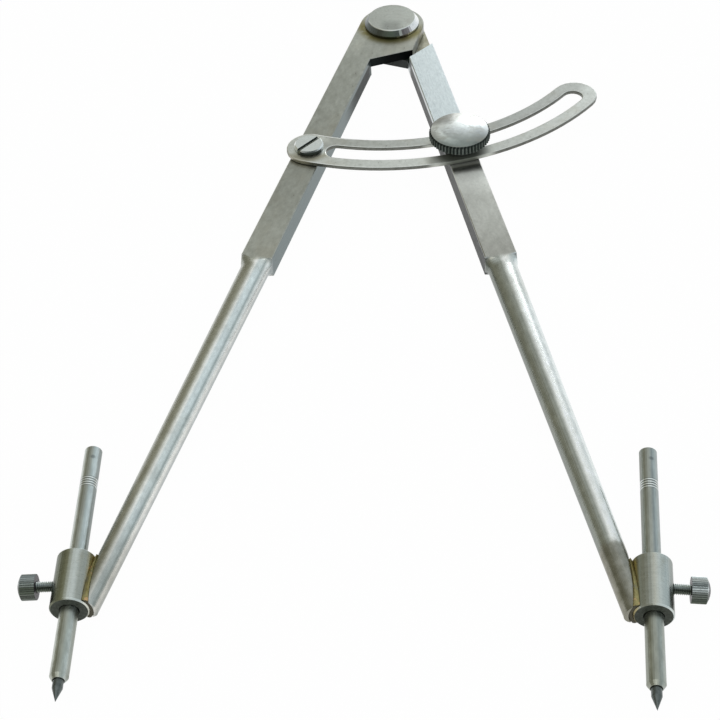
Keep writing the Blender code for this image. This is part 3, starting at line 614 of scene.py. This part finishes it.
def knob_paint():
    """Polished dome with painted reflections, darker toward its front, and soiling and painted shade in a
    straight knurl.
    """
    paint = Paint("knob_steel", KNOB)
    smudge = paint.noise(0.14, (1.0, 1.8, 1.0), detail=4.0, roughness=0.6, distortion=0.6)
    mottle = paint.noise(0.6, detail=4.0)
    reach = paint.distance(paint.x, paint.y)
    # Painted reflections over the dome, darker toward its front.
    dome = paint.ramp(paint.times(paint.y, 1 / KNOB_RADIUS), (
        (-1.0, (0.22, 0.25, 0.23)),
        (-0.70, (0.28, 0.31, 0.29)),
        (-0.45, (0.47, 0.50, 0.48)),
        (-0.08, (0.80, 0.84, 0.85)),
        (0.15, (0.97, 1.0, 1.0)),
        (0.50, (0.80, 0.80, 0.78)),
        (1.0, (0.72, 0.71, 0.68)),
    ))
    # Painted shade beside the highlight, to its right and left.
    right = paint.times(paint.band(paint.x, 3.0, 10.0), paint.band(paint.y, 6.0, -2.0))
    dome = paint.shade(dome, right, 1.0, 0.64)
    left = paint.times(paint.band(paint.x, -1.0, -6.0), paint.band(paint.y, 1.0, 6.0))
    dome = paint.shade(dome, left, 1.0, 0.60)
    far_right = paint.times(paint.band(paint.x, 4.0, 10.0), paint.band(paint.y, -2.0, 2.0))
    dome = paint.shade(dome, far_right, 1.0, 0.76)
    # Painted highlight along the rim at the front left.
    glow = paint.times(paint.bump_band(reach, 10.2, 0.8, 1.6), paint.band(paint.x, 3.0, -5.0))
    glow = paint.times(glow, paint.band(paint.y, 1.0, -4.0))
    dome = paint.shade(dome, glow, 1.0, 1.45)
    dome = paint.shade(dome, mottle, 0.90, 1.10)
    smudged = paint.times(paint.band(smudge, 0.45, 0.80), 0.45)
    dome = paint.mix(smudged, dome, (0.36, 0.35, 0.30))
    # Teeth and grooves of the knurl painted dark: soiling and painted shade.
    edge = paint.band(paint.lean_z, 0.90, 0.60)
    tooth = paint.mix(mottle, (0.07, 0.085, 0.075), (0.15, 0.17, 0.155))
    color = paint.mix(edge, dome, tooth)
    groove = paint.times(edge, paint.band(reach, KNOB_RADIUS - 0.08, KNOB_RADIUS - 0.40))
    color = paint.mix(groove, color, (0.015, 0.02, 0.018))
    soil_and_shade = paint.times(edge, 0.35)
    roughness = paint.plus(0.29, paint.times(smudge, 0.12))
    return paint.finish(color, roughness, smudge, depth=0.008, edge=0.12, soil_and_shade=soil_and_shade)


def block_paint(name, place, turn, side, tilt, tones):
    """Turned clamp block with painted reflection bands, stained beside the braze, with painted shade on its
    lower end.
    """
    paint = Paint(name, place, turn)
    mottle = paint.noise(0.8, detail=5.0, roughness=0.65)
    ring = paint.noise(1.6, (0.05, 1.0, 0.05), detail=3.0, roughness=0.7)
    cloud = paint.noise(0.13, (1.0, 0.6, 1.0), detail=3.0)
    inward = paint.times(paint.x, -float(side))
    # Painted reflection bands across the block.
    color = paint.round_tone(paint.x, paint.z, tilt, BLOCK_RADIUS, tones)
    color = paint.shade(color, paint.plus(paint.times(ring, 0.5), paint.times(mottle, 0.5)), 0.86, 1.14)
    color = paint.mix(paint.times(paint.band(cloud, 0.50, 0.90), 0.35), color, (0.30, 0.28, 0.19))
    heat = paint.times(paint.band(inward, 4.6, 6.2), paint.band(paint.noise(0.3), -0.3, 0.5))
    color = paint.mix(paint.times(heat, 0.8), color, (0.40, 0.33, 0.15))
    # Painted highlight near the ends and painted shade on the lower end face.
    end = paint.band(paint.lean_y, -0.80, -0.95)
    near_end = paint.band(paint.size(paint.y), BLOCK_HALF_LENGTH - 0.75, BLOCK_HALF_LENGTH - 0.45)
    rim = paint.times(near_end, paint.inverse(end))
    rim = paint.times(rim, paint.band(paint.x, -2.0, 3.5))
    color = paint.mix(paint.times(rim, 0.6), color, (0.80, 0.86, 0.84))
    color = paint.mix(end, color, paint.mix(mottle, (0.045, 0.05, 0.04), (0.10, 0.11, 0.095)))
    roughness = paint.plus(0.24, paint.times(mottle, 0.12))
    return paint.finish(color, roughness, ring, depth=0.008, edge=0.15, soil_and_shade=paint.times(end, 0.8))


def rod_paint(name, place, turn, tilt, tones):
    """Drawn scriber rod with painted reflection bands and four plain rings near its top."""
    paint = Paint(name, place, turn)
    mottle = paint.noise(0.45, (1.0, 0.35, 1.0), detail=5.0, roughness=0.65)
    blotch = paint.noise(0.16, (1.0, 0.6, 1.0), detail=3.0, shift=(4, 6, 2))
    # Painted reflection bands across the rod.
    color = paint.round_tone(paint.x, paint.z, tilt, SCRIBER_RADIUS, tones)
    color = paint.shade(color, mottle, 0.84, 1.16)
    lower = paint.times(paint.band(paint.y, 0.0, -14.0), 0.35)
    color = paint.mix(lower, color, paint.mix(mottle, (0.30, 0.315, 0.24), (0.50, 0.52, 0.43)))
    color = paint.mix(paint.times(paint.band(blotch, 0.50, 0.90), 0.3), color, (0.26, 0.27, 0.22))
    dot = paint.band(paint.distance(paint.x, paint.y, DOT_PLACE), 1.3, 0.4)
    dot = paint.times(paint.times(dot, paint.band(paint.lean_z, 0.0, 0.3)), 0.6)
    color = paint.mix(dot, color, (0.10, 0.11, 0.12))
    in_band = paint.bump_band(paint.y, RINGS_MIDDLE, RINGS_HALF_LENGTH, 0.15)
    wave = paint.math("SINE", paint.times(paint.y, math.tau / RING_PITCH))
    ring = paint.times(paint.band(wave, -0.1, 0.5), in_band)
    color = paint.mix(paint.times(in_band, 0.7), color, (0.14, 0.155, 0.15))
    color = paint.mix(ring, color, (0.86, 0.90, 0.88))
    height = paint.math("SUBTRACT", paint.times(mottle, 0.4), ring)
    return paint.finish(color, paint.plus(0.28, paint.times(mottle, 0.10)), height, depth=0.02, edge=0.15)


def grip_paint(name, place, turn, tones):
    """Knurled thumbscrew steel with painted reflection bands and painted shade on its ends and in its
    grooves.
    """
    paint = Paint(name, place, turn)
    mottle = paint.noise(0.9, detail=4.0, roughness=0.6)
    reach = paint.distance(paint.y, paint.z)
    # Painted reflection bands across the head.
    color = paint.round_tone(paint.y, paint.z, SCREW_TILT, GRIP_RADIUS, tones)
    # Painted shade on the end faces.
    end = paint.band(paint.size(paint.lean_x), 0.80, 0.95)
    color = paint.mix(end, color, (0.07, 0.065, 0.07))
    color = paint.shade(color, mottle, 0.85, 1.15)
    # Painted shade in the knurl grooves.
    edge = paint.band(paint.size(paint.lean_x), 0.6, 0.3)
    groove = paint.times(edge, paint.band(reach, GRIP_RADIUS - 0.01, GRIP_RADIUS - 0.23))
    color = paint.mix(paint.times(groove, 0.6), color, (0.05, 0.055, 0.05))
    roughness = paint.plus(0.25, paint.times(mottle, 0.12))
    return paint.finish(color, roughness, mottle, depth=0.006, edge=0.12, soil_and_shade=paint.times(end, 0.55))


def shank_paint(name, place, turn):
    """Threaded shank with painted light above and painted shade below."""
    paint = Paint(name, place, turn)
    mottle = paint.noise(0.9, detail=4.0, roughness=0.6)
    # Painted reflection bands across the shank, light above and dark below.
    color = paint.round_tone(paint.y, paint.z, SCREW_TILT, THREAD_RADIUS, SHANK_TONES)
    color = paint.shade(color, mottle, 0.85, 1.15)
    return paint.finish(color, 0.30, mottle, depth=0.004, edge=0.0)


def braze_paint():
    """Rough golden brazing bronze with painted shade on the faces that point down the leg."""
    paint = Paint("braze_bronze")
    lump = paint.noise(0.7, detail=5.0, roughness=0.6)
    spot = paint.noise(0.35, detail=3.0, shift=(5, 5, 5))
    color = paint.mix(lump, (0.27, 0.235, 0.10), (0.43, 0.38, 0.18))
    color = paint.mix(paint.band(spot, 0.55, 1.0), color, (0.27, 0.26, 0.18))
    copper = paint.band(paint.noise(0.4, shift=(9, 2, 7)), 0.70, 0.95)
    color = paint.mix(copper, color, (0.62, 0.42, 0.22))
    # Painted shade on the faces that point down the leg.
    below = paint.band(paint.lean_y, -0.75, -0.92)
    color = paint.mix(below, color, (0.07, 0.065, 0.045))
    return paint.finish(color, paint.plus(0.36, paint.times(spot, 0.2)), lump, depth=0.05)


def thread_piece(name, node, outward):
    """Threaded shank that stands for a thumbscrew's plain shank."""
    low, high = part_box(node)
    middle = (low + high) / 2
    shank = frame["nodes"][node]
    along = [(point.co - middle).dot(outward) for point in shank.data.vertices]
    start = min(along) / MM
    end = max(along) / MM
    steps = int((end - start) / THREAD_PITCH * THREAD_STEPS_PER_TURN)
    across = outward.orthogonal().normalized()
    up = outward.cross(across)
    shape = bmesh.new()
    rings = []
    for step in range(steps + 1):
        height = start + (end - start) * step / steps
        ring = []
        for corner in range(THREAD_SIDES):
            angle = math.tau * corner / THREAD_SIDES
            phase = (height / THREAD_PITCH - corner / THREAD_SIDES) % 1.0
            tooth = abs(2 * phase - 1)
            nearest_end = min(end - height, height - start)
            taper = min(1.0, (nearest_end + THREAD_LEAD) / THREAD_PITCH)
            radius = THREAD_RADIUS - THREAD_DEPTH * (1 - tooth * taper)
            spot = across * math.cos(angle) + up * math.sin(angle)
            ring.append(shape.verts.new(middle + (outward * height + spot * radius) * MM))
        rings.append(ring)
    for first, second in zip(rings, rings[1:]):
        for corner in range(THREAD_SIDES):
            after = (corner + 1) % THREAD_SIDES
            shape.faces.new((first[corner], first[after], second[after], second[corner]))
    shape.faces.new(rings[0][::-1])
    shape.faces.new(rings[-1])
    bmesh.ops.recalc_face_normals(shape, faces=shape.faces)
    mesh = bpy.data.meshes.new(name)
    shape.to_mesh(mesh)
    shape.free()
    mesh.shade_smooth()
    mesh.set_sharp_from_angle(angle=THREAD_SHARP_ANGLE)
    piece = bpy.data.objects.new(name, mesh)
    bpy.context.scene.collection.objects.link(piece)
    return piece


def assign(material, *nodes):
    for name in nodes:
        slots = frame["nodes"][name].material_slots
        if len(slots) == 0:
            frame["nodes"][name].data.materials.append(material)
        for slot in slots:
            slot.material = material


def dress():
    """Gives every node its material and adds the threads."""
    assign(leg_paint("left_leg_steel", -HALF_OPENING, -1), "left_leg")
    assign(leg_paint("right_leg_steel", HALF_OPENING, 1), "right_leg")
    assign(disc_paint(), "hinge_bolt")
    assign(arc_paint(), "arc_bar")
    assign(arc_screw_paint(), "arc_screw")
    assign(knob_paint(), "lock_knob")
    dark = satin_paint("dark_steel", (0.14, 0.15, 0.14), (0.24, 0.25, 0.24), 0.32)
    assign(dark, "hinge_nut", "lock_stud", "lock_washer")
    carbide = satin_paint("carbide", (0.09, 0.105, 0.10), (0.17, 0.19, 0.185), 0.30)
    assign(carbide, "left_carbide_point", "right_carbide_point")
    assign(braze_paint(), "left_braze", "right_braze")
    for prefix, (side, place, tilt, block_tones, scriber_tones, grip_tones) in CLAMPS.items():
        turn = side * CLAMP_TURN
        block = block_paint(prefix + "_block_steel", place, turn, side, tilt, block_tones)
        assign(block, prefix + "_clamp_block")
        rod = rod_paint(prefix + "_rod_steel", place, turn, tilt, scriber_tones)
        assign(rod, prefix + "_scriber_rod")
        screw = JOINTS[prefix + "_screw_turn"]
        grip = grip_paint(prefix + "_grip_steel", screw["pos_m"], turn, grip_tones)
        assign(grip, prefix + "_screw_head")
        node = prefix + "_screw_shank"
        thread = thread_piece(prefix + "_thread", node, Vector(screw["axis"]))
        thread.data.materials.append(shank_paint(prefix + "_thread_steel", screw["pos_m"], turn))
        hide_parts(node)
        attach(thread, prefix + "_screw")


def make_floor():
    """Pale floor that keeps a soft shadow and shows as white."""
    material = bpy.data.materials.new("floor")
    material.use_nodes = True
    tree = material.node_tree
    tree.nodes.clear()
    output = tree.nodes.new("ShaderNodeOutputMaterial")
    matte = tree.nodes.new("ShaderNodeBsdfDiffuse")
    matte.inputs["Color"].default_value = FLOOR_COLOR
    white = tree.nodes.new("ShaderNodeEmission")
    white.inputs["Strength"].default_value = 1.0
    path = tree.nodes.new("ShaderNodeLightPath")
    seen = path.outputs["Is Camera Ray"]
    for ray in ("Is Transmission Ray", "Is Glossy Ray"):
        either = tree.nodes.new("ShaderNodeMath")
        either.operation = "MAXIMUM"
        tree.links.new(seen, either.inputs[0])
        tree.links.new(path.outputs[ray], either.inputs[1])
        seen = either.outputs[0]
    share = tree.nodes.new("ShaderNodeMath")
    share.operation = "MULTIPLY"
    share.inputs[1].default_value = WHITE_SHARE
    tree.links.new(seen, share.inputs[0])
    mixed = tree.nodes.new("ShaderNodeMixShader")
    tree.links.new(share.outputs[0], mixed.inputs["Fac"])
    tree.links.new(matte.outputs["BSDF"], mixed.inputs[1])
    tree.links.new(white.outputs["Emission"], mixed.inputs[2])
    tree.links.new(mixed.outputs["Shader"], output.inputs["Surface"])
    mesh = bpy.data.meshes.new("floor")
    half = FLOOR_HALF
    corners = [(-half, -half, 0), (half, -half, 0), (half, half, 0), (-half, half, 0)]
    mesh.from_pydata(corners, [], [(0, 1, 2, 3)])
    mesh.materials.append(material)
    floor = bpy.data.objects.new("floor", mesh)
    bpy.context.scene.collection.objects.link(floor)


def make_world():
    """Pale studio: darker and warmer to the left, cooler to the right and brightest above."""
    world = bpy.data.worlds.new("studio")
    bpy.context.scene.world = world
    world.use_nodes = True
    tree = world.node_tree
    background = tree.nodes["Background"]
    source = tree.nodes.new("ShaderNodeTexCoord")
    parts = tree.nodes.new("ShaderNodeSeparateXYZ")
    tree.links.new(source.outputs["Generated"], parts.inputs[0])
    across = tree.nodes.new("ShaderNodeMapRange")
    across.interpolation_type = "SMOOTHSTEP"
    across.inputs["From Min"].default_value = ACROSS_CHANGE[0]
    across.inputs["From Max"].default_value = ACROSS_CHANGE[1]
    tree.links.new(parts.outputs["X"], across.inputs["Value"])
    above = tree.nodes.new("ShaderNodeMapRange")
    above.interpolation_type = "SMOOTHSTEP"
    above.inputs["From Min"].default_value = ABOVE_CHANGE[0]
    above.inputs["From Max"].default_value = ABOVE_CHANGE[1]
    tree.links.new(parts.outputs["Z"], above.inputs["Value"])
    sides = tree.nodes.new("ShaderNodeMix")
    sides.data_type = "RGBA"
    sides.inputs[6].default_value = STUDIO_LEFT
    sides.inputs[7].default_value = STUDIO_RIGHT
    tree.links.new(across.outputs["Result"], sides.inputs[0])
    dome = tree.nodes.new("ShaderNodeMix")
    dome.data_type = "RGBA"
    dome.inputs[7].default_value = STUDIO_ABOVE
    tree.links.new(above.outputs["Result"], dome.inputs[0])
    tree.links.new(sides.outputs[2], dome.inputs[6])
    tree.links.new(dome.outputs[2], background.inputs["Color"])


def area_lamp(name, place, target, size, energy, color):
    lamp = bpy.data.lights.new(name, "AREA")
    lamp.shape = "RECTANGLE"
    lamp.size, lamp.size_y = size
    lamp.energy = energy
    lamp.color = color
    obj = bpy.data.objects.new(name, lamp)
    bpy.context.scene.collection.objects.link(obj)
    obj.location = place
    aim = Vector(target) - Vector(place)
    obj.rotation_euler = aim.to_track_quat("-Z", "Y").to_euler()


def make_lights():
    area_lamp("window", (0.42, 1.90, 0.70), (0.0, 0.0, 0.0), (0.9, 0.6), 4.2, (0.95, 0.99, 1.0))
    area_lamp("fill", (-0.4, -1.2, 1.9), (0.0, 0.0, 0.0), (1.8, 1.2), 5.0, (1.0, 0.99, 0.97))


def make_camera():
    data = bpy.data.cameras.new("camera")
    data.lens = CAMERA_LENS
    data.sensor_width = CAMERA_SENSOR
    camera = bpy.data.objects.new("camera", data)
    bpy.context.scene.collection.objects.link(camera)
    camera.location = CAMERA_PLACE
    camera.rotation_euler = [math.radians(angle) for angle in CAMERA_ANGLES]
    bpy.context.scene.camera = camera


dress()
make_floor()
make_world()
make_lights()
make_camera()
bpy.context.scene.view_settings.view_transform = "Standard"
